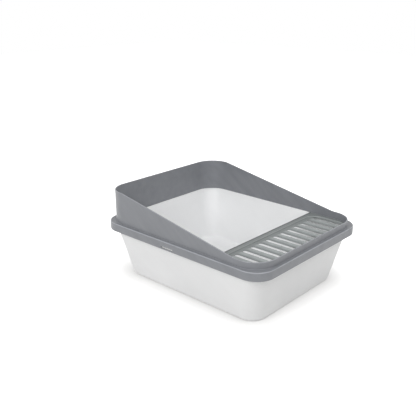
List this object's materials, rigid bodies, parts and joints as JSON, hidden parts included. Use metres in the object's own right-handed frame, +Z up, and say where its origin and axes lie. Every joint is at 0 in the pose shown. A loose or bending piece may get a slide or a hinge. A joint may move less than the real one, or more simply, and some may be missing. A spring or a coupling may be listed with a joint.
{
  "type": "high-sided litter box",
  "caption": "Open rectangular litter tub with a slotted entry step and a lift-off collar, high at the back and low at the entry.",
  "frame": {"origin": "on the floor, under the middle of the assembled box", "axes": "+Z up, +Y towards the high back wall, -Y towards the low entry, +X to the right seen from the entry"},
  "size_m": [0.42, 0.51, 0.2315],
  "materials": {
    "tub_plastic": "smooth moulded white, satin sheen",
    "step_plastic": "fine matt moulded grey",
    "collar_plastic": "fine matt moulded grey"
  },
  "bodies": {
    "tub_body": {"tub": "tub_plastic"},
    "step_body": {"entry_step": "step_plastic"},
    "collar_body": {"collar": "collar_plastic"}
  },
  "joints": [
    {"name": "step_lift", "type": "slide", "parent": "tub_body", "child": "step_body", "axis": [0, 0, 1], "range_m": [0, 0.041]},
    {"name": "collar_lift", "type": "slide", "parent": "step_body", "child": "collar_body", "axis": [0, 0, 1], "range_m": [0, 0.102]}
  ]
}
